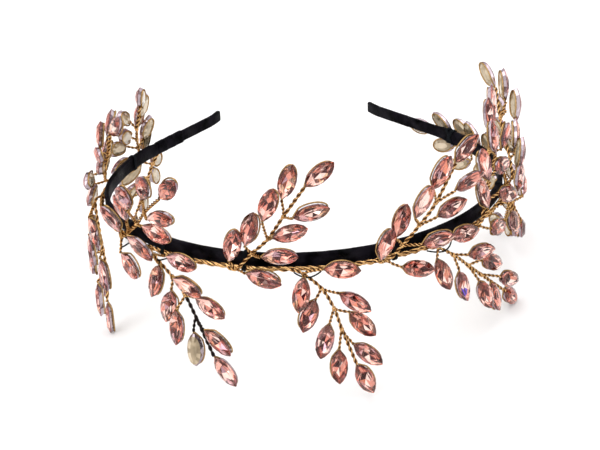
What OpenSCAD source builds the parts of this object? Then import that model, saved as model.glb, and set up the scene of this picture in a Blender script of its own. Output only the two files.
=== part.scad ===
// Crystal headband: a satin covered band with a vine of wire sprigs that carry pointed oval stones.
// The band is laid out flat first, then stands on its lowest stones as it would on a table.

/* [Band] */
// Height of the covered band
band_h = 5; // [4.4:0.1:7]
// Thickness of the covered band
band_t = 1.6; // [1.2:0.1:2]
// Height of the slimmer arm ends
tip_h = 4.2; // [3.4:0.1:4.4]
// Length of each slimmer arm end
tip_run = 40; // [20:1:45]
// Radius of the front bend
front_r = 73; // [72:0.5:75]
// Radius of the tight bends at the temples
temple_r = 40; // [39:0.5:41]
// Radius of the bend behind each temple
arm_r = 70; // [68:0.5:72]

/* [Vine] */
// Thickness of the rope of wires along the band
vine_d = 2.4; // [2:0.1:2.6]
// How far the rope runs below the band's middle
vine_drop = 2; // [1.6:0.1:2.4]
// Thickness of a sprig's main stem
stem_d = 1.5; // [1.2:0.1:1.6]
// Thickness of the short stem of one stone
twig_d = 1.1; // [0.8:0.1:1.2]

/* [Stones] */
// Length of a stone from point to point
stone_l = 12; // [11.4:0.1:12.2]
// Width of a stone
stone_w = 6; // [5.4:0.1:6.2]
// Height of the faceted face above the girdle
crown_h = 1.1; // [0.8:0.1:1.2]
// Depth of the foiled back below the girdle
back_h = 1.8; // [1.2:0.1:2]

/* [Stance] */
// How far the front rides up when the lowest stones meet the table, in degrees
ride = 5.8; // [5.4:0.1:6.2]
// How far the band tips to its right on those stones, in degrees
tip_over = 5.8; // [5.4:0.1:6.2]

/* [Hidden] */
// Gap between neighbouring pieces
gap = 0.15;
// Gap between a stem and the vine, with room for a thread between them
seat = 0.45;
// Gap between a stone's point and the end of its stem
point_gap = 0.35;
// Turns of the bends in degrees, from the middle of the front to an arm's end
front_turn = 64;
temple_turn = 37;
arm_turn = 29;
straight_run = 29.5;
flare_r = 30;
flare_run = 8.7;

function arc_run(r, turn) = r * turn * PI / 180;

// Runs of half the band's middle line: radius (0 is straight, below 0 bends out), length
RADIUS = 0;
LENGTH = 1;
RUNS = [
    [front_r, arc_run(front_r, front_turn)],
    [temple_r, arc_run(temple_r, temple_turn)],
    [arm_r, arc_run(arm_r, arm_turn)],
    [0, straight_run],
    [-flare_r, flare_run],
];

function run_start(i) = i == 0 ? 0 : run_start(i - 1) + RUNS[i - 1][LENGTH];
half_run = run_start(len(RUNS));

// One step of length d from p = [x, y, heading] on a bend of radius r
function step(p, r, d) = r == 0
    ? [p.x + d * cos(p.z), p.y + d * sin(p.z), p.z]
    : let (a = p.z + d / r * 180 / PI)
      [p.x + r * (sin(a) - sin(p.z)), p.y + r * (cos(p.z) - cos(a)), a];
function walk(s, i = 0, p = [0, 0, 0]) =
    s <= RUNS[i][LENGTH] || i == len(RUNS) - 1
    ? step(p, RUNS[i][RADIUS], s)
    : walk(s - RUNS[i][LENGTH], i + 1, step(p, RUNS[i][RADIUS], RUNS[i][LENGTH]));

// The middle of the front is s = 0, the left arm has s below 0
band_depth = walk(half_run).y;
function side(s) = s < 0 ? -1 : 1;
function middle(s) = let (w = walk(abs(s))) [side(s) * w.x, w.y - band_depth / 2, 0];
function outward(s) = let (a = walk(abs(s)).z) [side(s) * sin(a), -cos(a), 0];
UP = [0, 0, 1];

// The vine's middle lies this far outside the band's middle, a sprig's stem one wire further
vine_out = band_t / 2 + gap + vine_d / 2;
stem_out = vine_out + vine_d / 2 + seat + stem_d / 2;
vine_from = -152;
vine_to = 140;

// Charts of a sprig, laid flat: run along the band, rise away from the vine, in millimetres.
// Forks of the main stem, then the stones: fork, run, rise, aim of the point in degrees
FORKS = 0;
STONES = 1;
FORK = 0;
RUN = 1;
RISE = 2;
AIM = 3;
CHARTS = [
    // 0: open sprig with its side stones low
    [[[5, 6], [10, 11], [15, 18.5]],
     [[0, 0, 9.8, 76], [1, 4.9, 15.2, 75], [2, 11.2, 24.6, 72], [3, 16.8, 31, 72], [3, 26.5, 32.5, 40],
      [3, 23.5, 21.5, 17], [2, 17, 14, 18], [1, 14, 7.5, 5], [0, 9, -1, -18]]],
    // 1: steep sprig with all its stones swept down
    [[[5.5, 6], [9, 13.5], [11, 21]],
     [[0, -0.5, 6.5, 100], [1, 1.5, 14.5, 110], [2, 5.5, 22, 105], [3, 9.5, 33, 92], [3, 17, 39, 68],
      [3, 17.5, 28.5, 47], [2, 17, 19, 52], [1, 14.5, 9.5, 39], [0, 11.5, -1.5, 8]]],
    // 2: full sprig
    [[[8, 6.5], [12.5, 12], [16, 19]],
     [[0, 3.5, 8, 100], [1, 7.5, 16.5, 100], [2, 12, 21.5, 88], [3, 16.6, 29.5, 86], [3, 26, 36, 54],
      [3, 25, 24, 40], [2, 22, 13.5, 27], [1, 16, 6, 18], [0, 13.5, -1.5, 8]]],
    // 3: sprig with its lower stones turned down over the vine
    [[[7, 6], [13.5, 12], [19, 19]],
     [[0, 4.5, 11.5, 95], [1, 11.3, 19, 87], [2, 18, 27, 78], [3, 24, 32, 72], [3, 31.5, 33, 52],
      [3, 28, 21.5, 20], [2, 22.5, 12, -14], [1, 16, 4.5, -36], [0, 9, -5.5, -28]]],
    // 4: flat sprig with its side stones close together
    [[[6, 5], [12.5, 11.5], [18.5, 17.5]],
     [[0, -0.5, 8.5, 75], [1, 8, 16.5, 78], [2, 14.5, 21.5, 72], [3, 22.5, 27, 78], [3, 34, 33, 44],
      [3, 28, 22.5, 35], [2, 22.5, 14, 32], [1, 14, 5.5, 11], [0, 8.5, -3, 6]]],
    // 5: open sprig with its side stones spread low
    [[[5, 4.5], [11, 10], [17, 16]],
     [[0, -1.2, 7.8, 74], [1, 3.9, 14.5, 73], [2, 9.7, 20.7, 66], [3, 17.5, 27.5, 62], [3, 28, 32, 36],
      [3, 26.5, 22, 14], [2, 22, 13.5, 14], [1, 15, 5.5, 0], [0, 9, -3.5, -20]]],
];

// How the nine stones stand off the chart: lift of the base, lift of the point, roll in degrees
BASE_LIFT = 0;
POINT_LIFT = 1;
ROLL = 2;
STANCES = [
    [0.4, 2.2, -8], [0, 0.6, 8], [2.6, 4.2, -6], [0.4, 1.6, 10], [0, 0.8, 0],
    [2.6, 4.2, -10], [0, 1.2, 8], [2.4, 4.2, -8], [1.1, 2.2, 8],
];

// Sprigs from the left arm round to the right: way (1 is up, -1 is down), root on the band, chart,
// turn of the chart in degrees, size of the chart, lean outwards in degrees, share of the lifts
WAY = 0;
ROOT = 1;
CHART = 2;
TURN = 3;
SIZE = 4;
LEAN = 5;
OPEN = 6;
UPWARD = [
    [1, -138.5, 5, 14, 0.94, -27, 1],
    [1, -114, 0, 2, 1, -20, 1],
    [1, -69, 3, 0, 1, 18, 1],
    [1, -24, 0, 0, 1, -8, 1],
    [1, 22, 5, 0, 1, 0, 1],
    [1, 59, 3, 8, 0.95, -15, 0.8],
    [1, 97.5, 0, -4, 0.94, 2, 0.8],
    [1, 112.8, 2, -56, 1, -3, 0.6],
];
DOWNWARD = [
    [-1, -151.5, 2, 27, 0.92, 21, 0.9],
    [-1, -99, 2, 28, 1, -3, 0.9],
    [-1, -54, 2, 0, 1, 4, 1],
    [-1, -4, 1, 0, 1, 4, 1],
    [-1, 40, 4, 0, 1, 4, 1],
    [-1, 80, 5, -12, 0.98, -2, 0.8],
];
SPRIGS = concat(UPWARD, DOWNWARD);

// A place on a sprig's leaning surface, from its chart
function on_sprig(g, run, rise, lift = 0) =
    let (u = g[SIZE] * (run * cos(g[TURN]) - rise * sin(g[TURN])),
         v = g[SIZE] * (run * sin(g[TURN]) + rise * cos(g[TURN])),
         s = g[ROOT] + u)
    middle(s) + outward(s) * (stem_out + lift + abs(v) * sin(g[LEAN]))
    + UP * (g[WAY] * v * cos(g[LEAN]) - vine_drop);

function unit(v) = v / norm(v);

// The frame of stone i on sprig g: middle, along, across and out of its face
function stone_frame(g, i) =
    let (row = CHARTS[g[CHART]][STONES][i], rise = STANCES[i],
         reach = stone_l / 2 / g[SIZE],
         base = on_sprig(g, row[RUN] - reach * cos(row[AIM]), row[RISE] - reach * sin(row[AIM]),
                         back_h + g[OPEN] * rise[BASE_LIFT]),
         point = on_sprig(g, row[RUN] + reach * cos(row[AIM]), row[RISE] + reach * sin(row[AIM]),
                          back_h + g[OPEN] * rise[POINT_LIFT]),
         along = unit(point - base),
         s = g[ROOT] + g[SIZE] * (row[RUN] * cos(g[TURN]) - row[RISE] * sin(g[TURN])),
         level = unit(cross(outward(s), along)),
         face = cross(along, level),
         out = face * cos(rise[ROLL]) + level * sin(rise[ROLL]))
    [(base + point) / 2, along, cross(out, along), out];

// Corners of one stone about its own middle: girdle, table and flat back, as shares of its size
GIRDLE_AT = [-0.36, -0.13, 0.13, 0.36];
FULLER = 0.25;
oval_r = (stone_l * stone_l / 4 + stone_w * stone_w / 4) / stone_w;
function half_width(x) =
    (sqrt(oval_r * oval_r - x * x) - oval_r + stone_w / 2) * (1 + FULLER * pow(2 * x / stone_l, 2));
GIRDLE = concat(
    [[-stone_l / 2, 0, 0]], [for (f = GIRDLE_AT) [f * stone_l, half_width(f * stone_l), 0]],
    [[stone_l / 2, 0, 0]], [for (f = GIRDLE_AT) [-f * stone_l, -half_width(f * stone_l), 0]]);
TABLE_AT = [[-0.27, 0], [-0.1, 0.26], [0.1, 0.26], [0.27, 0], [0.1, -0.26], [-0.1, -0.26]];
BACK_AT = [[-0.3, 0], [-0.12, 0.24], [0.12, 0.24], [0.3, 0], [0.12, -0.24], [-0.12, -0.24]];
function level(places, z) = [for (t = places) [t.x * stone_l, t.y * stone_w, z]];
CORNERS = concat(GIRDLE, level(TABLE_AT, crown_h), level(BACK_AT, -back_h));

function corners(g, i) = let (f = stone_frame(g, i))
    [for (c = CORNERS) f[0] + f[1] * c.x + f[2] * c.y + f[3] * c.z];
function before_stone(g, i) = let (f = stone_frame(g, i)) f[0] - f[1] * (stone_l / 2 + point_gap);

// A flat sided tube through the points of a path, its radius falling to a share of r at the end.
// It keeps its turn by a direction that the path never runs along
WIRE_SIDES = 5;
VINE_SIDES = 8;
function heading(path, i) = unit(path[min(i + 1, len(path) - 1)] - path[max(i - 1, 0)]);
function ring(p, way, by, r, sides, phase) = let (a = unit(cross(way, by)), b = cross(way, a))
    [for (k = [0:sides - 1]) let (t = 360 * (k + phase) / sides) p + r * (cos(t) * a + sin(t) * b)];
module tube(path, r, by, share = 1, sides = WIRE_SIDES, phase = 0) {
    last = len(path) - 1;
    points = [for (i = [0:last])
        each ring(path[i], heading(path, i), by, r * (1 - (1 - share) * i / last), sides, phase)];
    walls = [for (i = [0:last - 1], k = [0:sides - 1])
        each let (a = i * sides + k, b = i * sides + (k + 1) % sides)
            [[a, a + sides, b], [b, a + sides, b + sides]]];
    start_cap = [[for (k = [0:sides - 1]) k]];
    end_cap = [[for (k = [sides - 1:-1:0]) last * sides + k]];
    polyhedron(points, concat(walls, start_cap, end_cap), convexity = 4);
}

// A smooth path through the given points
SPAN_STEPS = 3;
function blend(a, b, c, d, t) = 0.5 * (2 * b + (c - a) * t
    + (2 * a - 5 * b + 4 * c - d) * t * t + (3 * b - a - 3 * c + d) * t * t * t);
function smooth(p) = let (last = len(p) - 1) concat(
    [for (i = [0:last - 1], k = [0:SPAN_STEPS - 1])
        blend(p[max(i - 1, 0)], p[i], p[i + 1], p[min(i + 2, last)], k / SPAN_STEPS)],
    [p[last]]);

// Places where a sprig's stem leaves the vine and where its side stems leave it
STEM_LEAD = 3.5;
STEM_TAPER = 0.65;
TWIG_TAPER = 0.5;
TWIG_PHASE = 0.3;
END_STONE = 4;
function fork_point(g, i) = i == 0
    ? on_sprig(g, 0, 0.4)
    : let (f = CHARTS[g[CHART]][FORKS][i - 1]) on_sprig(g, f.x, f.y);
function lead_point(g) = let (s = g[ROOT] - STEM_LEAD) middle(s) + outward(s) * stem_out - UP * vine_drop;

module sprig_wires(g) {
    stem = [lead_point(g), fork_point(g, 0), fork_point(g, 1), fork_point(g, 2), fork_point(g, 3),
            before_stone(g, END_STONE)];
    by = outward(g[ROOT]);
    color("darkgoldenrod") {
        tube(smooth(stem), stem_d / 2, by, STEM_TAPER);
        for (i = [0:len(STANCES) - 1]) if (i != END_STONE) {
            from = fork_point(g, CHARTS[g[CHART]][STONES][i][FORK]);
            hull() tube([from, before_stone(g, i)], twig_d / 2, by, TWIG_TAPER, phase = TWIG_PHASE);
        }
    }
}

// The corners alone make each stone, so its facets are the flats between them
module sprig_stones(g) {
    last = len(CORNERS) - 1;
    color("lightpink")
    for (i = [0:len(STANCES) - 1])
        hull() polyhedron(corners(g, i), [for (k = [0:last - 2]) [k, k + 1, k + 2]]);
}

// Places along the band from s = a to s = b, close enough for its bends to look smooth
PLAN_STEP = 2.5;
function stations(a, b) = let (n = ceil((b - a) / PLAN_STEP)) [for (i = [0:n]) a + (b - a) * i / n];
function edge(a, b, out) = [for (s = stations(a, b)) let (p = middle(s) + out * outward(s)) [p.x, p.y]];
function reverse(list) = [for (i = [len(list) - 1:-1:0]) list[i]];
module plan(a, b, t) polygon(concat(edge(a, b, -t / 2), reverse(edge(a, b, t / 2))));

// One strip, cut down above and below along each arm end
module band() color("black") difference() {
    linear_extrude(band_h, center = true) plan(-half_run, half_run, band_t);
    for (way = [-1, 1], face = [-1, 1]) {
        ends = [way * (half_run - tip_run), way * (half_run + 1)];
        translate([0, 0, face * (tip_h + band_h) / 2])
            linear_extrude(band_h, center = true) plan(min(ends), max(ends), 2 * band_t);
    }
}

// Places a flat section, with x outwards and y up, across the band and makes it that long
module across_band(s, length)
    translate(middle(s)) rotate([0, 0, side(s) * walk(abs(s)).z]) rotate([90, 0, -90])
        linear_extrude(length, center = true) children();

// Outline round the band and the vine together, at a clearance from both
OCTAGON = tan(22.5);
function round_both(h, clear) = let (r = vine_d / 2 + clear, c = [vine_out, -vine_drop]) [
    [-band_t / 2 - clear, -h / 2 - clear], c + [-r * OCTAGON, -r], c + [r * OCTAGON, -r],
    c + [r, -r * OCTAGON], c + [r, r * OCTAGON], [band_t / 2 + clear, h / 2 + clear],
    [-band_t / 2 - clear, h / 2 + clear]];
module ring_section(outer, inner) difference() {
    polygon(outer);
    polygon(inner);
}

// Extra turns of ribbon wound over the band and the vine's first end
WRAP_AT = -150;
WRAP_RUN = 14;
WRAP_H = 4.9;
RIBBON = 0.25;
CLOSE = 0.1;
module left_wrap() color("black")
    across_band(WRAP_AT, WRAP_RUN) ring_section(round_both(WRAP_H, CLOSE + RIBBON), round_both(tip_h, CLOSE));

module vine() color("goldenrod")
    tube([for (s = stations(vine_from, vine_to)) middle(s) + outward(s) * vine_out - UP * vine_drop],
         vine_d / 2, UP, sides = VINE_SIDES);

// Loops of thread round the band and the vine: places along the band
TIES = [-128, -69, -51, -22, 25.5, 84, 136];
THREAD = 0.25;
TIE_W = 1.4;
module thread_ties() color("black")
    for (s = TIES)
        across_band(s, TIE_W) ring_section(round_both(band_h, gap + THREAD), round_both(band_h, gap));

// The part stands on its lowest stones, with its origin under the middle of its box
function stood(p) =
    let (q = [p.x, p.y * cos(ride) + p.z * sin(ride), p.z * cos(ride) - p.y * sin(ride)])
    [q.x * cos(tip_over) + q.z * sin(tip_over), q.y, q.z * cos(tip_over) - q.x * sin(tip_over)];
STOOD = [
    for (g = SPRIGS, i = [0:len(STANCES) - 1]) each [for (c = corners(g, i)) stood(c)],
    for (s = [-half_run, half_run], t = [-1, 1], h = [-1, 1])
        stood(middle(s) + outward(s) * t * band_t / 2 + UP * h * tip_h / 2),
];
function low(axis) = min([for (p = STOOD) p[axis]]);
function high(axis) = max([for (p = STOOD) p[axis]]);
module stand()
    translate([-(low(0) + high(0)) / 2, -(low(1) + high(1)) / 2, -low(2)])
        rotate([-ride, tip_over, 0]) children();

stand() band();
stand() left_wrap();
stand() vine();
stand() thread_ties();
for (k = [0:len(UPWARD) - 1]) {
    stand() sprig_wires(UPWARD[k]);
    stand() sprig_stones(UPWARD[k]);
}
for (k = [0:len(DOWNWARD) - 1]) {
    stand() sprig_wires(DOWNWARD[k]);
    stand() sprig_stones(DOWNWARD[k]);
}
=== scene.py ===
import math
import random

import bpy
import numpy as np
from mathutils import Matrix, Vector


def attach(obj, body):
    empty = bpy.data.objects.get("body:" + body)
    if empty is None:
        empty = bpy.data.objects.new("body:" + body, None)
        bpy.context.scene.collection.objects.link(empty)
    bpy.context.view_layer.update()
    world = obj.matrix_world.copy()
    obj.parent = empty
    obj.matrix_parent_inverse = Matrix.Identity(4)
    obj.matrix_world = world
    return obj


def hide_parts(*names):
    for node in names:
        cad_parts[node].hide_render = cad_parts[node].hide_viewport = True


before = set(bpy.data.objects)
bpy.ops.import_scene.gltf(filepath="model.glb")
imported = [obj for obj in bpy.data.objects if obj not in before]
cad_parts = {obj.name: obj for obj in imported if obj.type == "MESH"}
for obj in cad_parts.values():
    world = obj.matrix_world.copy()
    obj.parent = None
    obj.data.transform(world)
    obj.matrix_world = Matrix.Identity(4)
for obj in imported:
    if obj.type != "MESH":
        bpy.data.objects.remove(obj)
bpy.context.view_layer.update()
MM = 0.001

# The band's run and the sprigs' charts, in millimetres, as the part's source has them

BAND_H, BAND_T, TIP_H, TIP_RUN = 5.0, 1.6, 4.2, 40.0
VINE_D, VINE_DROP, VINE_FROM, VINE_TO = 2.4, 2.0, -152.0, 140.0
STEM_D, STONE_L, STONE_W, CROWN_H, BACK_H = 1.5, 12.0, 6.0, 1.1, 1.8
GAP, SEAT, POINT_GAP, STEM_LEAD, FULLER = 0.15, 0.45, 0.35, 3.5, 0.25
RIDE = TIP_OVER = math.radians(5.8)
STAND_SHIFT = np.array([0.0977, 7.5407, 42.6493])
BENDS = [(73.0, 64.0), (40.0, 37.0), (70.0, 29.0), (0.0, 29.5), (-30.0, 8.7)]  # radius, turn or run
RUNS = [(r, math.radians(t) * r if r > 0 else t) for r, t in BENDS]
HALF_RUN = sum(run for _, run in RUNS)
VINE_OUT = BAND_T / 2 + GAP + VINE_D / 2
STEM_OUT = VINE_OUT + VINE_D / 2 + SEAT + STEM_D / 2

# forks of the main stem as run, rise; stones as fork, run, rise, aim in degrees
CHARTS = [
    ([(5, 6), (10, 11), (15, 18.5)],
     [(0, 0, 9.8, 76), (1, 4.9, 15.2, 75), (2, 11.2, 24.6, 72), (3, 16.8, 31, 72), (3, 26.5, 32.5, 40),
      (3, 23.5, 21.5, 17), (2, 17, 14, 18), (1, 14, 7.5, 5), (0, 9, -1, -18)]),
    ([(5.5, 6), (9, 13.5), (11, 21)],
     [(0, -0.5, 6.5, 100), (1, 1.5, 14.5, 110), (2, 5.5, 22, 105), (3, 9.5, 33, 92), (3, 17, 39, 68),
      (3, 17.5, 28.5, 47), (2, 17, 19, 52), (1, 14.5, 9.5, 39), (0, 11.5, -1.5, 8)]),
    ([(8, 6.5), (12.5, 12), (16, 19)],
     [(0, 3.5, 8, 100), (1, 7.5, 16.5, 100), (2, 12, 21.5, 88), (3, 16.6, 29.5, 86), (3, 26, 36, 54),
      (3, 25, 24, 40), (2, 22, 13.5, 27), (1, 16, 6, 18), (0, 13.5, -1.5, 8)]),
    ([(7, 6), (13.5, 12), (19, 19)],
     [(0, 4.5, 11.5, 95), (1, 11.3, 19, 87), (2, 18, 27, 78), (3, 24, 32, 72), (3, 31.5, 33, 52),
      (3, 28, 21.5, 20), (2, 22.5, 12, -14), (1, 16, 4.5, -36), (0, 9, -5.5, -28)]),
    ([(6, 5), (12.5, 11.5), (18.5, 17.5)],
     [(0, -0.5, 8.5, 75), (1, 8, 16.5, 78), (2, 14.5, 21.5, 72), (3, 22.5, 27, 78), (3, 34, 33, 44),
      (3, 28, 22.5, 35), (2, 22.5, 14, 32), (1, 14, 5.5, 11), (0, 8.5, -3, 6)]),
    ([(5, 4.5), (11, 10), (17, 16)],
     [(0, -1.2, 7.8, 74), (1, 3.9, 14.5, 73), (2, 9.7, 20.7, 66), (3, 17.5, 27.5, 62), (3, 28, 32, 36),
      (3, 26.5, 22, 14), (2, 22, 13.5, 14), (1, 15, 5.5, 0), (0, 9, -3.5, -20)]),
]
# lift of each stone's base and point off the chart, and its roll in degrees
STANCES = [(0.4, 2.2, -8), (0, 0.6, 8), (2.6, 4.2, -6), (0.4, 1.6, 10), (0, 0.8, 0),
           (2.6, 4.2, -10), (0, 1.2, 8), (2.4, 4.2, -8), (1.1, 2.2, 8)]
END_STONE = 4
# way up or down, root, chart, turn, size, lean, share of the lifts
SPRIGS = {
    "up_1": (1, -138.5, 5, 14, 0.94, -27, 1), "up_2": (1, -114, 0, 2, 1, -20, 1),
    "up_3": (1, -69, 3, 0, 1, 18, 1), "up_4": (1, -24, 0, 0, 1, -8, 1),
    "up_5": (1, 22, 5, 0, 1, 0, 1), "up_6": (1, 59, 3, 8, 0.95, -15, 0.8),
    "up_7": (1, 97.5, 0, -4, 0.94, 2, 0.8), "up_8": (1, 112.8, 2, -56, 1, -3, 0.6),
    "down_1": (-1, -151.5, 2, 27, 0.92, 21, 0.9), "down_2": (-1, -99, 2, 28, 1, -3, 0.9),
    "down_3": (-1, -54, 2, 0, 1, 4, 1), "down_4": (-1, -4, 1, 0, 1, 4, 1),
    "down_5": (-1, 40, 4, 0, 1, 4, 1), "down_6": (-1, 80, 5, -12, 0.98, -2, 0.8),
}
TIES = [-128.0, -69.0, -51.0, -22.0, 25.5, 84.0, 136.0]
UP = np.array([0.0, 0.0, 1.0])


def unit(v):
    return v / np.linalg.norm(v)


def walk(s):
    """Place and heading on half the band's middle line, s millimetres from the middle of the front."""
    x = y = a = 0.0
    for i, (r, run) in enumerate(RUNS):
        d = min(s, run) if i < len(RUNS) - 1 else s
        if r == 0:
            x, y = x + d * math.cos(a), y + d * math.sin(a)
        else:
            b = a + d / r
            x, y, a = x + r * (math.sin(b) - math.sin(a)), y + r * (math.cos(a) - math.cos(b)), b
        s -= d
        if s <= 0:
            break
    return x, y, a


BAND_DEPTH = walk(HALF_RUN)[1]


def middle(s):
    x, y, _ = walk(abs(s))
    return np.array([math.copysign(x, s), y - BAND_DEPTH / 2, 0.0])


def outward(s):
    a = walk(abs(s))[2]
    return np.array([math.copysign(math.sin(a), s), -math.cos(a), 0.0])


def turn_to_row(v):
    """A direction of the band's frame as the standing part has it."""
    x, y, z = v
    y, z = y * math.cos(RIDE) + z * math.sin(RIDE), z * math.cos(RIDE) - y * math.sin(RIDE)
    return np.array([x * math.cos(TIP_OVER) + z * math.sin(TIP_OVER), y,
                     z * math.cos(TIP_OVER) - x * math.sin(TIP_OVER)])


def to_row(p):
    """A point of the band's frame, in millimetres, as metres in the row frame."""
    return (turn_to_row(p) + STAND_SHIFT) * MM


def on_sprig(g, run, rise, lift=0.0):
    way, root, _, turn, size, lean, _ = g
    t = math.radians(turn)
    u = size * (run * math.cos(t) - rise * math.sin(t))
    v = size * (run * math.sin(t) + rise * math.cos(t))
    s, lean = root + u, math.radians(lean)
    return (middle(s) + outward(s) * (STEM_OUT + lift + abs(v) * math.sin(lean))
            + UP * (way * v * math.cos(lean) - VINE_DROP))


def stone_frame(g, i):
    """Middle, along, across and face direction of stone i of a sprig."""
    _, root, chart, turn, size, _, share = g
    _, run, rise, aim = CHARTS[chart][1][i]
    base_lift, point_lift, roll = STANCES[i]
    reach, a, t = STONE_L / 2 / size, math.radians(aim), math.radians(turn)
    base = on_sprig(g, run - reach * math.cos(a), rise - reach * math.sin(a), BACK_H + share * base_lift)
    point = on_sprig(g, run + reach * math.cos(a), rise + reach * math.sin(a), BACK_H + share * point_lift)
    along = unit(point - base)
    s = root + size * (run * math.cos(t) - rise * math.sin(t))
    level = unit(np.cross(outward(s), along))
    roll = math.radians(roll)
    out = np.cross(along, level) * math.cos(roll) + level * math.sin(roll)
    return (base + point) / 2, along, np.cross(out, along), out


def before_stone(g, i):
    mid, along, _, _ = stone_frame(g, i)
    return mid - along * (STONE_L / 2 + POINT_GAP)


def fork_point(g, k):
    return on_sprig(g, 0, 0.4) if k == 0 else on_sprig(g, *CHARTS[g[2]][0][k - 1])


PATH_STEPS = 6


def smooth_path(points, steps=PATH_STEPS):
    """A rounded path through the given points."""
    p, made = [np.asarray(q, float) for q in points], []
    last = len(p) - 1
    for i in range(last):
        a, b, c, d = p[max(i - 1, 0)], p[i], p[i + 1], p[min(i + 2, last)]
        for t in np.arange(steps) / steps:
            made.append(0.5 * (2 * b + (c - a) * t + (2 * a - 5 * b + 4 * c - d) * t * t
                               + (3 * b - a - 3 * c + d) * t ** 3))
    return made + [p[last]]


# Node trees

class Signal:
    """A socket that ordinary arithmetic adds Math nodes to."""

    def __init__(self, graph, socket):
        self.graph, self.socket = graph, socket

    def _math(self, kind, a, b):
        return self.graph.node("ShaderNodeMath", {0: a, 1: b}, operation=kind)

    def __add__(self, other):
        return self._math("ADD", self, other)

    def __sub__(self, other):
        return self._math("SUBTRACT", self, other)

    def __mul__(self, other):
        return self._math("MULTIPLY", self, other)

    def __truediv__(self, other):
        return self._math("DIVIDE", self, other)

    def __rsub__(self, other):
        return self._math("SUBTRACT", other, self)

    def __rtruediv__(self, other):
        return self._math("DIVIDE", other, self)

    __radd__, __rmul__ = __add__, __mul__


class Graph:
    """Adds nodes to a tree: type, the values or links of its sockets, its settings."""

    def __init__(self, tree):
        self.tree = tree

    def node(self, kind, values=None, out=0, stops=None, **settings):
        made = self.tree.nodes.new(kind)
        for name, value in settings.items():
            setattr(made, name, value)
        if stops:
            ramp = made.color_ramp
            while len(ramp.elements) < len(stops):
                ramp.elements.new(1.0)
            for element, (place, colour) in zip(ramp.elements, stops):
                element.position, element.color = place, (*colour, 1.0)
        for name, value in (values or {}).items():
            self.put(made.inputs[name], value)
        return Signal(self, made.outputs[out])

    def put(self, socket, value):
        if isinstance(value, Signal):
            self.tree.links.new(value.socket, socket)
        else:
            socket.default_value = value

    def mix(self, factor, a, b, blend="MIX"):
        return self.node("ShaderNodeMix", {0: factor, 6: a, 7: b}, out=2, data_type="RGBA", blend_type=blend)


def geometry_tree(name, inputs):
    """A geometry node group with named inputs: name, socket type, default."""
    tree = bpy.data.node_groups.new(name, "GeometryNodeTree")
    tree.interface.new_socket("Geometry", in_out="INPUT", socket_type="NodeSocketGeometry")
    for label, kind, default in inputs:
        socket = tree.interface.new_socket(label, in_out="INPUT", socket_type=kind)
        if default is not None:
            socket.default_value = default
    tree.interface.new_socket("Geometry", in_out="OUTPUT", socket_type="NodeSocketGeometry")
    graph = Graph(tree)
    entry = tree.nodes.new("NodeGroupInput")
    gives = {s.name: Signal(graph, s) for s in entry.outputs if s.name}
    return tree, graph, gives


def finish_tree(graph, result):
    end = graph.tree.nodes.new("NodeGroupOutput")
    graph.put(end.inputs[0], result)


def rope_tree():
    """Strands twisted round each path of the mesh that it is given."""
    tree, g, given = geometry_tree("twisted_wire", [
        ("Strands", "NodeSocketInt", 2), ("Strand Radius", "NodeSocketFloat", 0.0002),
        ("Spread", "NodeSocketFloat", 0.0003), ("Pitch", "NodeSocketFloat", 0.004),
        ("Step", "NodeSocketFloat", 0.0004), ("Sides", "NodeSocketInt", 6),
        ("Wander", "NodeSocketFloat", 0.0), ("Wander Scale", "NodeSocketFloat", 150.0),
        ("Material", "NodeSocketMaterial", None)])
    rail = g.node("GeometryNodeMeshToCurve", {"Mesh": given["Geometry"]})
    rail = g.node("GeometryNodeResampleCurve", {"Curve": rail, "Length": given["Step"]}, mode="LENGTH")
    noise = g.node("ShaderNodeTexNoise", {"Scale": given["Wander Scale"], "Detail": 0.0}, out="Color")
    centred = g.node("ShaderNodeVectorMath", {0: noise, 1: (0.5, 0.5, 0.5)}, operation="SUBTRACT")
    shift = g.node("ShaderNodeVectorMath", {0: centred, "Scale": given["Wander"]}, operation="SCALE")
    rail = g.node("GeometryNodeSetPosition", {"Geometry": rail, "Offset": shift})
    length = g.node("GeometryNodeSplineParameter", out="Length")
    turn = g.node("GeometryNodeInputNamedAttribute", {"Name": "phase"}, data_type="FLOAT")
    rail = g.node("GeometryNodeSetCurveTilt",
                  {"Curve": rail, "Tilt": (length / given["Pitch"] + turn) * (2 * math.pi)})
    share = g.node("GeometryNodeInputNamedAttribute", {"Name": "share"}, data_type="FLOAT")
    rail = g.node("GeometryNodeSetCurveRadius", {"Curve": rail, "Radius": share})
    angle = g.node("GeometryNodeInputIndex") / given["Strands"] * (2 * math.pi)
    sin = g.node("ShaderNodeMath", {0: angle}, operation="SINE") * given["Spread"]
    cos = g.node("ShaderNodeMath", {0: angle}, operation="COSINE") * given["Spread"]
    place = g.node("ShaderNodeCombineXYZ", {"X": cos, "Y": sin})
    posts = g.node("GeometryNodePoints", {"Count": given["Strands"], "Position": place})
    strand = g.node("GeometryNodeCurvePrimitiveCircle",
                    {"Resolution": given["Sides"], "Radius": given["Strand Radius"]})
    profile = g.node("GeometryNodeInstanceOnPoints", {"Points": posts, "Instance": strand})
    profile = g.node("GeometryNodeRealizeInstances", {"Geometry": profile})
    # how far each point of a strand lies out from the rope's axis; the brass finishes paint shade on the
    # strands' inner sides, where it is low
    off_axis = g.node("ShaderNodeVectorMath", {0: g.node("GeometryNodeInputPosition")}, out="Value",
                      operation="LENGTH")
    profile = g.node("GeometryNodeStoreNamedAttribute", {
        "Geometry": profile, "Name": "outer", "Value": off_axis / (given["Spread"] + given["Strand Radius"])},
        data_type="FLOAT", domain="POINT")
    swept = g.node("GeometryNodeCurveToMesh", {"Curve": rail, "Profile Curve": profile, "Fill Caps": True})
    swept = g.node("GeometryNodeSetShadeSmooth", {"Geometry": swept})
    swept = g.node("GeometryNodeRealizeInstances", {"Geometry": swept})
    finish_tree(g, g.node("GeometryNodeSetMaterial", {"Geometry": swept, "Material": given["Material"]}))
    return tree


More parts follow.
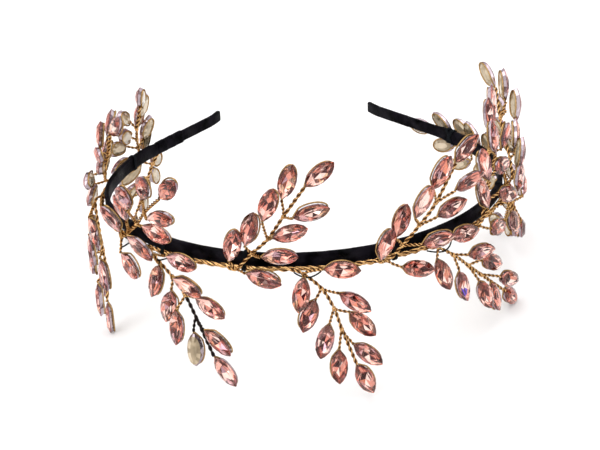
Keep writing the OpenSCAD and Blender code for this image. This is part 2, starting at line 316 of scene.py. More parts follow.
CROWN, FOIL, SIDE, BACK = 0, 1, 2, 3


def stone_tree():
    """One cut stone on each point, its layers each in their own finish."""
    tree, g, given = geometry_tree("set_stones", [
        ("Stone", "NodeSocketObject", None), ("Seed", "NodeSocketInt", 0),
        ("Crown", "NodeSocketMaterial", None), ("Foil", "NodeSocketMaterial", None),
        ("Side", "NodeSocketMaterial", None), ("Back", "NodeSocketMaterial", None)])
    stone = g.node("GeometryNodeObjectInfo", {"Object": given["Stone"]}, out="Geometry")
    facing = g.node("GeometryNodeInputNamedAttribute", {"Name": "facing"}, data_type="FLOAT_VECTOR")
    cut = g.node("GeometryNodeInstanceOnPoints",
                 {"Points": given["Geometry"], "Instance": stone, "Rotation": facing})
    cut = g.node("GeometryNodeRealizeInstances", {"Geometry": cut})
    # a random value per facet, which the stone finishes turn into painted reflections
    tone = g.node("FunctionNodeRandomValue", {"Seed": given["Seed"]}, out=1, data_type="FLOAT")
    cut = g.node("GeometryNodeStoreNamedAttribute", {"Geometry": cut, "Name": "tone", "Value": tone},
                 data_type="FLOAT", domain="FACE")
    for value, finish in ((CROWN, "Crown"), (FOIL, "Foil"), (SIDE, "Side"), (BACK, "Back")):
        layer = g.node("GeometryNodeInputNamedAttribute", {"Name": "layer"}, data_type="INT")
        here = g.node("FunctionNodeCompare", {2: layer, 3: value}, data_type="INT", operation="EQUAL")
        cut = g.node("GeometryNodeSetMaterial",
                     {"Geometry": cut, "Selection": here, "Material": given[finish]})
    finish_tree(g, cut)
    return tree


def made_by(tree, name, source, settings):
    """The plain mesh that a tree makes from a source mesh."""
    obj = bpy.data.objects.new(name, source)
    bpy.context.scene.collection.objects.link(obj)
    modifier = obj.modifiers.new("make", "NODES")
    modifier.node_group = tree
    keys = {i.name: i.identifier for i in tree.interface.items_tree if i.in_out == "INPUT"}
    for label, value in settings.items():
        modifier[keys[label]] = value
    bpy.context.view_layer.update()
    mesh = bpy.data.meshes.new_from_object(obj.evaluated_get(bpy.context.evaluated_depsgraph_get()))
    obj.modifiers.clear()
    obj.data = mesh
    mesh.name = name
    return obj


def join(name, parts):
    """One piece of several meshes, in the same place."""
    with bpy.context.temp_override(active_object=parts[0], selected_editable_objects=parts):
        bpy.ops.object.join()
    parts[0].name = parts[0].data.name = name
    return parts[0]


def chains(name, paths):
    """A mesh of open paths: points of the band's frame, the thickness at both ends and the twist's phase."""
    places, edges, shares, phases = [], [], [], []
    for path, (first, last), phase in paths:
        start = len(places)
        places += [to_row(p) for p in path]
        edges += [(start + i, start + i + 1) for i in range(len(path) - 1)]
        shares += list(np.linspace(first, last, len(path)))
        phases += [phase] * len(path)
    mesh = bpy.data.meshes.new(name)
    mesh.from_pydata([tuple(p) for p in places], edges, [])
    for label, values in (("share", shares), ("phase", phases)):
        mesh.attributes.new(label, "FLOAT", "POINT").data.foreach_set("value", np.array(values, np.float32))
    return mesh


# Finishes

FLASH_TONE, FLASH_ABOVE = 1.5, 1.2  # value of the one facet painted with a blue reflection, past those that the tree gives


def finish(name):
    """A new material without nodes, and the graph to fill."""
    material = bpy.data.materials.new(name)
    material.use_nodes = True
    material.node_tree.nodes.clear()
    graph = Graph(material.node_tree)
    return material, graph


def close(graph, shader):
    end = graph.tree.nodes.new("ShaderNodeOutputMaterial")
    graph.put(end.inputs["Surface"], shader)


def place_of(g):
    return g.node("ShaderNodeTexCoord", out="Object")


def crystal_finish():
    """Clear pink lead glass of the stone's face, uneven in tint and touched here and there."""
    material, g = finish("pink_crystal")
    cord = g.node("ShaderNodeTexNoise", {"Vector": place_of(g), "Scale": 260.0, "Detail": 1.0})
    smudge = g.node("ShaderNodeTexNoise", {"Vector": place_of(g), "Scale": 900.0, "Detail": 3.0})
    touched = g.node("ShaderNodeMapRange",
                     {"Value": smudge, "From Min": 0.55, "From Max": 0.8, "To Max": 0.05})
    close(g, g.node("ShaderNodeBsdfPrincipled", {
        "Base Color": g.mix(cord, (1.0, 0.80, 0.75, 1), (1.0, 0.93, 0.91, 1)), "Roughness": touched,
        "IOR": 1.5, "Transmission Weight": 1.0, "Specular Tint": (1.0, 0.72, 0.67, 1)}))
    return material


def foil_finish():
    """The mirror behind the glass, painted with reflections: each facet a light or dark colour of its own,
    the middle ones in stronger contrast, the colours running to orange-red at the point.
    """
    material, g = finish("rose_foil")
    tone = g.node("ShaderNodeAttribute", out="Fac", attribute_name="tone")
    core = g.node("ShaderNodeAttribute", out="Fac", attribute_name="core")
    end = g.node("ShaderNodeAttribute", out="Fac", attribute_name="end")
    # painted reflections: a light or dark colour for each facet, picked by its random value
    outer = g.node("ShaderNodeValToRGB", {"Fac": tone}, stops=[
        (0.0, (0.23, 0.045, 0.035)), (0.13, (0.74, 0.34, 0.27)), (0.34, (0.92, 0.53, 0.45)),
        (0.56, (1.0, 0.74, 0.67)), (0.82, (0.60, 0.39, 0.42)), (0.92, (0.86, 0.60, 0.40))])
    inner = g.node("ShaderNodeValToRGB", {"Fac": tone}, stops=[
        (0.0, (0.06, 0.008, 0.010)), (0.36, (0.78, 0.34, 0.27)), (0.56, (1.0, 0.84, 0.77)),
        (0.80, (0.76, 0.30, 0.20)), (0.92, (0.46, 0.30, 0.36))])
    for ramp in (outer, inner):
        ramp.socket.node.color_ramp.interpolation = "CONSTANT"
    soft = g.node("ShaderNodeMapRange", {"Value": end, "From Min": 0.0, "From Max": -0.9, "To Max": 0.45})
    tip = g.node("ShaderNodeMapRange", {"Value": end, "From Min": 0.78, "From Max": 1.0, "To Max": 0.8})
    # one facet gets a painted blue reflection
    flash = g.node("ShaderNodeMath", {0: tone, 1: FLASH_ABOVE}, operation="GREATER_THAN")
    colour = g.mix(core, g.mix(soft, outer, (0.82, 0.43, 0.36, 1)), inner)
    colour = g.mix(flash, g.mix(tip, colour, (0.80, 0.25, 0.12, 1)), (0.14, 0.08, 0.62, 1))
    close(g, g.node("ShaderNodeBsdfPrincipled", {"Base Color": colour, "Metallic": 0.85, "Roughness": 0.03}))
    return material


def side_finish():
    """The silvered slope behind the widest line, pale lilac grey with a painted reflection brightness per
    facet, and the rim it starts from painted dark rose for light refracted at the stone's edge.
    """
    material, g = finish("lilac_side")
    worn = g.node("ShaderNodeTexNoise", {"Vector": place_of(g), "Scale": 420.0, "Detail": 2.0})
    tone = g.node("ShaderNodeAttribute", out="Fac", attribute_name="tone")
    edge = g.node("ShaderNodeAttribute", out="Fac", attribute_name="core")
    # painted reflection brightness per facet, mottled by noise
    silver = g.mix(tone * 0.6 + worn * 0.5, (0.20, 0.155, 0.18, 1), (0.62, 0.53, 0.57, 1))
    # the rim strip is painted dark rose, standing in for light refracted at the stone's edge
    close(g, g.node("ShaderNodeBsdfPrincipled", {
        "Base Color": g.mix(edge, silver, (0.26, 0.08, 0.08, 1)), "Metallic": 0.8,
        "Roughness": worn * 0.1 + 0.04, "Specular Tint": (0.5, 0.4, 0.43, 1)}))
    return material


def back_finish():
    """Champagne lacquer on the stone's back, a little mottled, each facet with a painted reflection
    brightness of its own.
    """
    material, g = finish("champagne_back")
    tone = g.node("ShaderNodeAttribute", out="Fac", attribute_name="tone")
    mottle = g.node("ShaderNodeTexNoise", {"Vector": place_of(g), "Scale": 300.0, "Detail": 2.0})
    # painted reflections: each facet lighter or darker by its own random value, along with the mottle
    colour = g.node("ShaderNodeValToRGB", {"Fac": mottle * 0.6 + tone * 0.4}, stops=[
        (0.25, (0.20, 0.145, 0.078)), (0.5, (0.45, 0.35, 0.22)), (0.75, (0.68, 0.56, 0.40))])
    close(g, g.node("ShaderNodeBsdfPrincipled", {
        "Base Color": colour, "Metallic": 0.5, "Roughness": 0.2, "Coat Weight": 0.8, "Coat Roughness": 0.04}))
    return material


def brass_finish(name, bright, mid, dark, rough):
    """Bare wire, browned where it was handled, with painted shade between the strands: a darker colour on
    their inner sides and a dark matt shader where they meet.
    """
    material, g = finish(name)
    stain = g.node("ShaderNodeTexNoise", {"Vector": place_of(g), "Scale": 700.0, "Detail": 3.0})
    outer = g.node("ShaderNodeAttribute", out="Fac", attribute_name="outer")
    # the strands' inner sides, where outer is low, get painted shade, mixed with the random stain
    stain_and_shade = outer * 0.75 + stain * 0.5 - 0.25
    half = tuple((a + b) / 2 for a, b in zip(bright, mid))
    colour = g.node("ShaderNodeValToRGB", {"Fac": stain_and_shade}, stops=[(0.5, mid), (0.62, half), (0.78, bright)])
    metal = g.node("ShaderNodeBsdfPrincipled", {
        "Base Color": colour, "Metallic": 1.0, "Roughness": stain * 0.16 + rough, "Specular Tint": (*mid, 1)})
    # painted shade: a dark matt shader in the gaps between strands
    painted_strand_shade = g.node("ShaderNodeBsdfPrincipled", {
        "Base Color": (*dark, 1), "Roughness": 0.8, "Specular IOR Level": 0.1})
    # share of the metal; it gives way to the painted shade where the strands meet
    bare = g.node("ShaderNodeMapRange", {"Value": stain_and_shade, "From Min": 0.43, "From Max": 0.60})
    close(g, g.node("ShaderNodeMixShader", {0: bare, 1: painted_strand_shade, 2: metal}))
    return material


def satin_finish():
    """Black satin ribbon: fine cross threads under a soft sheen."""
    material, g = finish("wound_satin")
    uv = g.node("ShaderNodeUVMap", uv_map="ribbon")
    thread = g.node("ShaderNodeTexWave", {"Vector": uv, "Scale": 3.2, "Distortion": 0.6, "Detail": 1.0},
                    out="Fac", bands_direction="X")
    cloud = g.node("ShaderNodeTexNoise", {"Vector": place_of(g), "Scale": 230.0, "Detail": 3.0})
    patch = g.node("ShaderNodeTexNoise", {"Vector": place_of(g), "Scale": 110.0, "Detail": 4.0})
    deep = g.node("ShaderNodeMapRange", {"Value": cloud, "From Min": 0.36, "From Max": 0.64})
    gloss = g.node("ShaderNodeMapRange", {"Value": patch, "From Min": 0.48, "From Max": 0.66, "To Max": 0.12})
    lift = g.node("ShaderNodeBump",
                  {"Height": thread * 0.6 + cloud * 0.8, "Strength": 0.35, "Distance": 0.0001})
    colour = g.mix(deep, (0.0003, 0.0003, 0.0005, 1), (0.0085, 0.0072, 0.0110, 1))
    close(g, g.node("ShaderNodeBsdfPrincipled", {
        "Base Color": colour, "Roughness": cloud * 0.25 + 0.3, "Normal": lift, "Specular IOR Level": 0.008,
        "Coat Weight": gloss, "Coat Roughness": 0.25}))
    return material


def thread_finish():
    """Matt black sewing thread."""
    material, g = finish("sewing_thread")
    fuzz = g.node("ShaderNodeTexNoise", {"Vector": place_of(g), "Scale": 900.0, "Detail": 2.0})
    lift = g.node("ShaderNodeBump", {"Height": fuzz, "Strength": 0.5, "Distance": 0.0001})
    colour = g.mix(fuzz, (0.002, 0.003, 0.004, 1), (0.010, 0.012, 0.015, 1))
    close(g, g.node("ShaderNodeBsdfPrincipled", {
        "Base Color": colour, "Roughness": 0.6, "Normal": lift, "Specular IOR Level": 0.05}))
    return material


crystal, foil, lilac, champagne = crystal_finish(), foil_finish(), side_finish(), back_finish()
# the third colour of each brass finish is the painted shade between its strands
brass = brass_finish("old_brass", (0.84, 0.53, 0.24), (0.33, 0.145, 0.04), (0.075, 0.026, 0.006), 0.04)
vine_brass = brass_finish("vine_brass", (0.90, 0.56, 0.25), (0.24, 0.10, 0.025), (0.05, 0.018, 0.005), 0.05)
loop_brass = brass_finish("loop_brass", (0.44, 0.28, 0.12), (0.22, 0.13, 0.05), (0.08, 0.045, 0.018), 0.15)
dark_wire = brass_finish("dark_wire", (0.05, 0.035, 0.03), (0.02, 0.014, 0.014), (0.008, 0.006, 0.006), 0.25)
satin, thread = satin_finish(), thread_finish()

# One cut stone

OVAL_R = (STONE_L ** 2 / 4 + STONE_W ** 2 / 4) / STONE_W
OVAL_END, SLIMMER = 0.4875, 0.12  # where the blunt point is, and how much slimmer the stone is cut
OVAL_AT = [-0.40, -0.26, -0.09, 0.09, 0.26, 0.40]
RIM_TOP, RIM_LOW, RIM_BLUNT = 0.10, -0.14, 0.16
TABLE_SIZE, TABLE_BLUNT = 0.58, 0.10
FOOT_L, FOOT_W, FOOT_Z = 9.8, 4.7, 0.45 - BACK_H
FLAT_L, FLAT_W = 6.8, 2.2
ROUNDING = 0.85
WAIST_FROM = [0, 3, 5, 8, 10, 13, 15]  # corners of the outline that a facet of the mirror starts from
WAIST_IN, WAIST_IN_STEP, WAIST_DEEP, WAIST_DEEP_STEP = 0.46, 0.12, 0.9, 0.25
CULET_X, CULET_Z = 0.3, 0.2 - BACK_H  # the mirror's deepest point


def half_width(x):
    return (math.sqrt(OVAL_R ** 2 - x * x) - OVAL_R + STONE_W / 2) * (1 + FULLER * (2 * x / STONE_L) ** 2)


def oval(blunt, z, scale=1.0):
    """A ring of the pointed oval from its base point round by its right side."""
    end = STONE_L * OVAL_END * scale
    side = [(f * STONE_L * scale, (half_width(f * STONE_L) - SLIMMER) * scale) for f in OVAL_AT]
    ring = [(-end, -blunt)] + [(x, -y) for x, y in side]
    ring += [(end, -blunt), (end, blunt)] + [(-x, y) for x, y in side]
    ring += [(-end, blunt)]
    return [(x * MM, y * MM, z * MM) for x, y in ring]


def rounded_oval(count, length, width, z):
    """A ring of the round ended back, from its base end round by its right side."""
    ring = []
    for k in range(count):
        t = 2 * math.pi * (k + 0.5) / count
        x, y = -math.cos(t), -math.sin(t)
        ring.append((x * length / 2 * MM, math.copysign(abs(y) ** ROUNDING, y) * width / 2 * MM, z * MM))
    return ring


def cut_stone():
    """Crown, mirror, bare side and lacquered back of one stone, its base point towards -X and its face up."""
    count = 2 * len(OVAL_AT) + 4
    rings = [oval(RIM_BLUNT, RIM_TOP), oval(RIM_BLUNT, RIM_LOW), oval(TABLE_BLUNT, CROWN_H, TABLE_SIZE),
             rounded_oval(count, FOOT_L, FOOT_W, FOOT_Z), rounded_oval(count, FLAT_L, FLAT_W, -BACK_H)]
    rim, low, table, foot, flat = (k * count for k in range(5))
    places, faces, layers, cores = [p for ring in rings for p in ring], [], [], []
    culet = len(places)
    places.append((CULET_X * MM, 0.0, CULET_Z * MM))
    waist = len(places)
    for k, i in enumerate(WAIST_FROM):
        x, y, _ = places[low + i]
        share = WAIST_IN + WAIST_IN_STEP * (k % 2)
        deep = WAIST_DEEP + WAIST_DEEP_STEP * (k % 2)
        places.append((CULET_X * MM + x * share, y * share, -deep * MM))

    def add(face, layer, core=0.0):
        faces.append(face)
        layers.append(layer)
        cores.append(core)

    for i in range(count):
        j = (i + 1) % count
        add((rim + i, low + i, low + j, rim + j), SIDE, 1.0)
        if i % 2:
            add((rim + i, rim + j, table + i), CROWN)
            add((rim + j, table + j, table + i), CROWN)
        else:
            add((rim + i, rim + j, table + j), CROWN)
            add((rim + i, table + j, table + i), CROWN)
        add((low + i, foot + i, foot + j, low + j), SIDE)
        add((foot + i, flat + i, flat + j, foot + j), BACK)
    add(tuple(table + i for i in range(count)), CROWN)
    add(tuple(flat + i for i in reversed(range(count))), BACK)
    for k, i in enumerate(WAIST_FROM):
        m = (k + 1) % len(WAIST_FROM)
        between = [low + (i + t) % count for t in range((WAIST_FROM[m] - i) % count + 1)]
        add(tuple(reversed(between)) + (waist + k,), FOIL)
        add((waist + m, between[-1], waist + k), FOIL)
        add((culet, waist + m, waist + k), FOIL, 1.0)
    mesh = bpy.data.meshes.new("cut_stone")
    mesh.from_pydata(places, [], faces)
    mesh.materials.append(crystal)
    mesh.attributes.new("layer", "INT", "FACE").data.foreach_set("value", np.array(layers, np.int32))
    mesh.attributes.new("core", "FLOAT", "FACE").data.foreach_set("value", np.array(cores, np.float32))
    ends = [p[0] / (STONE_L / 2 * MM) for p in places]
    mesh.attributes.new("end", "FLOAT", "POINT").data.foreach_set("value", np.array(ends, np.float32))
    obj = bpy.data.objects.new("cut_stone", mesh)
    bpy.context.scene.collection.objects.link(obj)
    return obj


def set_at(g, i, turned_over):
    """Place and turn of a stone in the row frame."""
    mid, along, across, out = stone_frame(g, i)
    if turned_over:
        mid, across, out = mid - out * (BACK_H - CROWN_H), -across, -out
    turn = Matrix([turn_to_row(v) for v in (along, across, out)]).transposed()
    return to_row(mid), turn.to_euler()


pattern_stone = cut_stone()
set_stones, twisted_wire = stone_tree(), rope_tree()

TURNED_OVER = {("down_3", 3)}
FLASH_SPRIG, FLASH_STONE, FLASH_FACET = "down_5", 1, 3  # the one facet painted with a blue reflection


def flash_one_facet(piece):
    mesh = piece.data
    each = len(mesh.polygons) // len(STANCES)
    first = FLASH_STONE * each
    core, layer = ([v.value for v in mesh.attributes[n].data] for n in ("core", "layer"))
    facets = [k for k in range(first, first + each) if core[k] > 0.5 and layer[k] == FOIL]
    mesh.attributes["tone"].data[facets[FLASH_FACET]].value = FLASH_TONE


def sprig_stones(name, label, g, seed):
    placed = [set_at(g, i, (label, i) in TURNED_OVER) for i in range(len(STANCES))]
    source = bpy.data.meshes.new(name)
    source.from_pydata([tuple(p) for p, _ in placed], [], [])
    source.attributes.new("facing", "FLOAT_VECTOR", "POINT").data.foreach_set(
        "vector", np.array([list(e) for _, e in placed], np.float32).ravel())
    piece = made_by(set_stones, name, source, {
        "Stone": pattern_stone, "Seed": seed, "Crown": crystal, "Foil": foil,
        "Side": lilac, "Back": champagne})
    if label == FLASH_SPRIG:
        flash_one_facet(piece)
    return piece


# Wires of one sprig

STEM_STRAND, STEM_SPREAD, STEM_PITCH = 0.35, 0.31, 4.4
TWIG_STRAND, TWIG_SPREAD, TWIG_PITCH, TWIG_BOW = 0.29, 0.26, 3.0, 0.25
LOOP_STRAND, LOOP_HALF_L, LOOP_HALF_W, LOOP_BEHIND, LOOP_FOOT = 0.29, 5.05, 2.5, 1.45, 0.3
COLLAR_R, COLLAR_RUN, COLLAR_TURNS = 0.52, 1.0, 1.6
EVEN, TAPERED, TAPERED_END = (1, 1), (1, 0.9), (0.9, 0.85)  # shares of a wire's thickness at both ends
ONE_STRAND_PITCH = 9.0
ROOTED = 0.5  # a stem starts this far out from the middle of the rope of wires, among its strands


def rope(name, paths, strands, strand, spread, pitch, material, step=0.35, sides=6, wander=0.0):
    return made_by(twisted_wire, name, chains(name, paths), {
        "Strands": strands, "Strand Radius": strand * MM, "Spread": spread * MM, "Pitch": pitch * MM,
        "Step": step * MM, "Sides": sides, "Wander": wander * MM, "Material": material})


def stone_loop(g, i, rng):
    """The wire that runs from a twig round the stone, just behind its widest line."""
    mid, along, across, out = stone_frame(g, i)
    shift = rng.choice((-1, 1)) * rng.uniform(0.05, 0.45)
    wide, far = rng.uniform(0.94, 1.04), rng.uniform(0.96, 1.03)
    start = before_stone(g, i) - out * LOOP_FOOT
    made = [start]
    for t in np.linspace(0.12, 0.88, 17) * 2 * math.pi:
        x, y = -math.cos(t) * LOOP_HALF_L * far, math.sin(t) * LOOP_HALF_W * wide
        made.append(mid + along * x + across * (y + shift) - out * LOOP_BEHIND)
    made.append(start)
    return smooth_path(made, 2)


def collar(p, way, phase):
    """The short winding of wire round a stem where it forks."""
    a = unit(np.cross(way, UP + 0.3 * way))
    b = np.cross(way, a)
    each_turn = 12
    steps = int(each_turn * COLLAR_TURNS)
    made = []
    for k in range(steps + 1):
        t = 2 * math.pi * (k / each_turn + phase)
        made.append(p + way * (k / steps - 0.5) * COLLAR_RUN + COLLAR_R * (math.cos(t) * a + math.sin(t) * b))
    return made


BLACKENED = {"down_3": 2}  # the fork that a sprig's wires are black from
NO_FORK = 9


def sprig_wires(name, label, g, rng):
    forks = [fork_point(g, k) for k in range(4)]
    black_from = BLACKENED.get(label, NO_FORK)
    lead = g[1] - STEM_LEAD
    start = middle(lead) + outward(lead) * (VINE_OUT + ROOTED) - UP * VINE_DROP
    stem = smooth_path([start, *forks, before_stone(g, END_STONE)])
    split = PATH_STEPS * (black_from + 1)
    stems, twigs, loops = {False: [], True: []}, {False: [], True: []}, []
    phase = rng.random()
    stems[False].append((stem[:split + 1], TAPERED, phase))
    if split < len(stem):
        stems[True].append((stem[split:], TAPERED_END, phase))
    for i, (fork, *_) in enumerate(CHARTS[g[2]][1]):
        loops.append((stone_loop(g, i, rng), EVEN, 0))
        if i != END_STONE:
            a, b = forks[fork], before_stone(g, i)
            bow = unit(np.cross(b - a, outward(g[1]))) * rng.uniform(-TWIG_BOW, TWIG_BOW)
            path = smooth_path([a, a * 0.6 + b * 0.4 + bow, b], 4)
            twigs[fork > black_from].append((path, TAPERED, rng.random()))
    collars = [(collar(forks[k], unit(forks[k] - forks[k - 1]), rng.random()), EVEN, 0)
               for k in (1, 2, 3) if k <= black_from]
    parts = [
        rope(name + "_loops", loops, 1, LOOP_STRAND, 0.0, ONE_STRAND_PITCH, loop_brass, step=0.5),
        rope(name + "_collars", collars, 1, LOOP_STRAND, 0.0, ONE_STRAND_PITCH, brass, step=0.3),
    ]
    for black, metal in ((False, brass), (True, dark_wire)):
        if stems[black]:
            parts.append(rope(name + "_stem", stems[black], 2, STEM_STRAND, STEM_SPREAD, STEM_PITCH, metal))
        if twigs[black]:
            parts.append(rope(name + "_twigs", twigs[black], 2, TWIG_STRAND, TWIG_SPREAD, TWIG_PITCH, metal,
                              step=0.25))
    return join(name, parts)


rng = random.Random(7)
for number, (label, g) in enumerate(SPRIGS.items()):
    stones, wires = label + "_stones", label + "_wires"
    for piece, node, slot in ((sprig_stones("set_" + stones, label, g, number), stones, "crystal"),
                              (sprig_wires("twisted_" + wires, label, g, rng), wires, "gold_wire")):
        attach(piece, "root")
        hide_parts(node)
bpy.data.objects.remove(pattern_stone)

# The rope of wires along the band

VINE_STEP = 2.0
# name, how far out, phase, strands, strand radius, spread, pitch, wander
VINE_ROPES = [
    ("vine_core", 0.0, 0.0, 3, 0.34, 0.44, 9.5, 0.5),
    ("vine_over", 0.2, 0.2, 2, 0.29, 0.62, 8.0, 0.8),
    ("vine_cross", 0.2, 0.6, 1, 0.27, 0.0, 9.0, 1.9),
]


def vine_path(out):
    count = int((VINE_TO - VINE_FROM) / VINE_STEP)
    return [middle(s) + outward(s) * (VINE_OUT + out) - UP * VINE_DROP
            for s in np.linspace(VINE_FROM, VINE_TO, count + 1)]


vine = join("wire_vine", [
    rope(name, [(vine_path(out), EVEN, phase)], strands, strand, spread, pitch, vine_brass,
         wander=wander, sides=8)
    for name, out, phase, strands, strand, spread, pitch, wander in VINE_ROPES])
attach(vine, "root")
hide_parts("vine")

# Ribbon

BAND_ROUND, TAPER_RUN = 0.55, 3.0
WRAP_FROM, WRAP_TO, WRAP_ROUND = -157.0, -143.0, 0.6
WRAP_SIDE, WRAP_EDGE, WRAP_VINE = 0.12, 0.15, 0.1  # how thick the turns lie on the band and the vine
# share of a turn, share of the lap's step
LAP = ((0.0, 0.15), (0.04, 1.0), (0.3, 0.75), (0.55, 0.5), (0.8, 0.25))
LAP_END, EASE = 0.15, 2.0  # share of the step at the last edge, and the run where the slant fades out


def rounded(corners, radius, cuts=3):
    """A closed outline with its corners rounded."""
    made = []
    n = len(corners)
    for i in range(n):
        p, before, after = (np.array(corners[k % n], float) for k in (i, i - 1, i + 1))
        a, b = p + unit(before - p) * radius, p + unit(after - p) * radius
        for t in np.linspace(0, 1, cuts):
            made.append(a * (1 - t) ** 2 + 2 * p * t * (1 - t) + b * t * t)
    return np.array(made)


def band_height(s):
    t = min(max((abs(s) - (HALF_RUN - TIP_RUN) + TAPER_RUN / 2) / TAPER_RUN, 0.0), 1.0)
    return BAND_H + (TIP_H - BAND_H) * t * t * (3 - 2 * t)


def band_outline(s):
    t, h = BAND_T / 2, band_height(s) / 2
    return [(-t, -h), (t, -h), (t, h), (-t, h)], BAND_ROUND


def wrap_outline(s):
    t, h, r = BAND_T / 2 + WRAP_SIDE, TIP_H / 2 + WRAP_EDGE, VINE_D / 2 + WRAP_VINE
    return [(-t, -h), (VINE_OUT - 0.3, -VINE_DROP - r), (VINE_OUT + r, -VINE_DROP - 0.5),
            (VINE_OUT + r, -VINE_DROP + 0.6), (t, h), (-t, h)], WRAP_ROUND


def ribbon(name, a, b, outline, pitch, step, slant, rng):
    """Ribbon wound along the band from a to b: each turn laps over the last with a small step."""
    stations, s = [], a
    while s < b:
        turn = pitch * rng.uniform(0.85, 1.15)
        end = min(s + turn, b)
        for t, lift in LAP:
            if s + t * turn < end:
                stations.append((s + t * turn, lift))
        s = end
    stations.append((b, LAP_END))
    places, faces, uvs = [], [], []
    for s, lift in stations:
        corners, radius = outline(s)
        ring = rounded(corners, radius)
        centre = ring.mean(0)
        runs = np.concatenate([[0], np.cumsum(np.linalg.norm(np.diff(ring, axis=0), axis=1))])
        for q, run in zip(ring, runs):
            grown = q + unit(q - centre) * (step * lift)
            ease = min(1.0, (s - a) / EASE, (b - s) / EASE)
            at = s + slant * q[1] * max(ease, 0.0)
            places.append(to_row(middle(at) + outward(at) * grown[0] + UP * grown[1]))
            uvs.append((s, run))
        around = len(ring)
    rings = len(stations)
    for i in range(rings - 1):
        for k in range(around):
            m = (k + 1) % around
            faces.append((i * around + k, (i + 1) * around + k, (i + 1) * around + m, i * around + m))
    faces.append(tuple(range(around)))
    faces.append(tuple((rings - 1) * around + k for k in reversed(range(around))))
    mesh = bpy.data.meshes.new(name)
    mesh.from_pydata([tuple(p) for p in places], [], faces)
    layer = mesh.uv_layers.new(name="ribbon")
    for loop in mesh.loops:
        layer.data[loop.index].uv = uvs[loop.vertex_index]
    for polygon in mesh.polygons:
        polygon.use_smooth = len(polygon.vertices) == 4
    mesh.materials.append(satin)
    obj = bpy.data.objects.new(name, mesh)
    bpy.context.scene.collection.objects.link(obj)
    return obj


wound = ribbon("satin_band", -HALF_RUN, HALF_RUN, band_outline, pitch=8.0, step=0.07, slant=0.35,
               rng=random.Random(3))
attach(wound, "root")
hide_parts("band")
lapped = ribbon("satin_wrap", WRAP_FROM, WRAP_TO, wrap_outline, pitch=4.5, step=0.18, slant=0.3,
                rng=random.Random(5))
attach(lapped, "root")
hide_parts("left_wrap")

# Thread

THREAD_CLEAR, THREAD_R, SLACK_R = 0.22, 0.2, 0.27
SLACK_OUT, SLACK_BELLY, SLACK_UNDER = 1.2, 2.2, 0.7
# place along the band, half its run, how far it sags
SLACK = [(-68.0, 2.2, 2.0), (-51.0, 3.0, 0.8), (-2.4, 4.1, 0.8), (41.5, 5.0, 1.0)]


def bound_outline():
    """The way of a thread round the band and the rope of wires."""
    t, h, r = (size / 2 + THREAD_CLEAR for size in (BAND_T, BAND_H, VINE_D))
    return rounded([(-t, -h), (VINE_OUT, -VINE_DROP - r), (VINE_OUT + r, -VINE_DROP), (t, h), (-t, h)], 0.5)


def thread_turns(s, width, turns, slope=0.0):
    """Turns of thread side by side, on a slope where they cross."""
    ring = bound_outline()
    made = []
    count = len(ring) * turns
    for k in range(count + 1):
        q = ring[k % len(ring)]
        at = s + width * (k / count - 0.5) + slope * q[1]
        made.append(middle(at) + outward(at) * q[0] + UP * q[1])
    return made


def slack_thread(s, reach, sag):
    """A loose loop of thread that hangs under the rope of wires."""
    made = []
    for t in np.linspace(-1, 1, 11):
        at = s + reach * t
        made.append(middle(at) + outward(at) * (VINE_OUT + SLACK_OUT + SLACK_BELLY * (1 - t * t))
                    - UP * (VINE_DROP + SLACK_UNDER + sag * (1 - abs(t) ** 1.4)))
    return made


wound_paths = [(thread_turns(s, 1.2, 4), EVEN, 0) for s in TIES[:-1]]
wound_paths += [(thread_turns(TIES[-1], 1.4, 3, slope), EVEN, 0) for slope in (-0.5, 0.5)]
slack_paths = [(slack_thread(*row), EVEN, 0) for row in SLACK]
ties = join("tie_threads", [
    rope("wound_thread", wound_paths, 1, THREAD_R, 0.0, ONE_STRAND_PITCH, thread, step=0.4),
    rope("slack_thread", slack_paths, 1, SLACK_R, 0.0, ONE_STRAND_PITCH, thread, step=0.4)])
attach(ties, "root")
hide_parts("thread_ties")

# Floor, light and camera

FLOOR_REACH = 4


def plain_floor():
    mesh = bpy.data.meshes.new("floor")
    corners = [(x * FLOOR_REACH, y * FLOOR_REACH, 0) for x, y in ((-1, -1), (1, -1), (1, 1), (-1, 1))]
    mesh.from_pydata(corners, [], [(0, 1, 2, 3)])
    obj = bpy.data.objects.new("floor", mesh)
    bpy.context.scene.collection.objects.link(obj)
    material, g = finish("pale_floor")
    close(g, g.node("ShaderNodeBsdfPrincipled", {"Base Color": (0.92, 0.92, 0.92, 1), "Roughness": 0.9}))
    mesh.materials.append(material)


def studio_world():
    """White all round, with a few dark patches for the stones to throw back."""
    world = bpy.data.worlds.new("studio")
    world.use_nodes = True
    world.node_tree.nodes.clear()
    g = Graph(world.node_tree)
    way = g.node("ShaderNodeTexCoord", out="Generated")
    patches = g.node("ShaderNodeTexNoise", {"Vector": way, "Scale": 2.3, "Detail": 1.0})
    glow = g.node("ShaderNodeValToRGB", {"Fac": patches}, stops=[
        (0.42, (0.10, 0.035, 0.03)), (0.49, (1.35, 1.35, 1.35))])
    end = world.node_tree.nodes.new("ShaderNodeOutputWorld")
    g.put(end.inputs["Surface"], g.node("ShaderNodeBackground", {"Color": glow, "Strength": 1.0}))
    bpy.context.scene.world = world


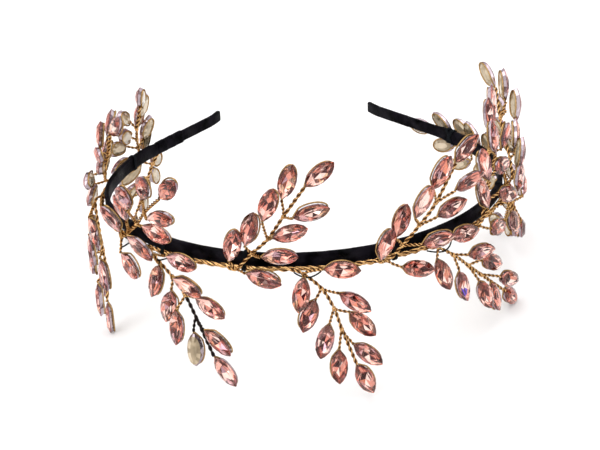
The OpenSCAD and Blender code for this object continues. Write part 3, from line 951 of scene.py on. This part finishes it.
def softbox(name, place, size, power):
    """A square light that looks at the part."""
    light = bpy.data.lights.new(name, "AREA")
    light.shape, light.size, light.energy = "SQUARE", size, power
    obj = bpy.data.objects.new(name, light)
    obj.location = place
    obj.rotation_euler = (Vector((0, 0, 0.04)) - Vector(place)).to_track_quat("-Z", "Y").to_euler()
    bpy.context.scene.collection.objects.link(obj)


# view of the photograph about the band's own frame, in degrees and millimetres, focal length in its pixels
ELEVATION, YAW, ROLL, DISTANCE, FOCAL = 26.4, 2.0, 2.64, 486.1, 1353.5
SIDE_SHIFT, RISE_SHIFT, CENTRE_X, CENTRE_Y = 1.468, 17.325, 301.2, 224.8
WIDTH, HEIGHT, SENSOR = 600, 450, 36.0


def photo_camera():
    el, yaw, roll = (math.radians(a) for a in (ELEVATION, YAW, ROLL))
    axis = np.array([0, math.cos(el), -math.sin(el)])
    right, rise = np.array([1.0, 0, 0]), np.array([0, math.sin(el), math.cos(el)])
    place = -DISTANCE * axis - SIDE_SHIFT * right - RISE_SHIFT * rise
    across = math.cos(roll) * right - math.sin(roll) * rise
    upward = math.sin(roll) * right + math.cos(roll) * rise
    unyaw = np.array([[math.cos(yaw), math.sin(yaw), 0], [-math.sin(yaw), math.cos(yaw), 0], [0, 0, 1]])
    columns = [turn_to_row(unyaw @ v) for v in (across, upward, -axis)]
    data = bpy.data.cameras.new("photo_view")
    data.sensor_width = SENSOR
    data.lens = FOCAL / WIDTH * SENSOR
    data.shift_x = -(CENTRE_X - WIDTH / 2) / WIDTH
    data.shift_y = (CENTRE_Y - HEIGHT / 2) / WIDTH
    data.clip_start, data.clip_end = 0.01, 20
    camera = bpy.data.objects.new("photo_view", data)
    turn = Matrix(columns).transposed().to_4x4()
    camera.matrix_world = Matrix.Translation(to_row(unyaw @ place)) @ turn
    bpy.context.scene.collection.objects.link(camera)
    bpy.context.scene.camera = camera


plain_floor()
studio_world()
softbox("overhead", (0.1, 0.1, 0.9), 0.9, 3.5)
softbox("left_front", (-0.7, -0.5, 0.6), 0.5, 1.5)
photo_camera()
bpy.context.scene.view_settings.view_transform = "Standard"
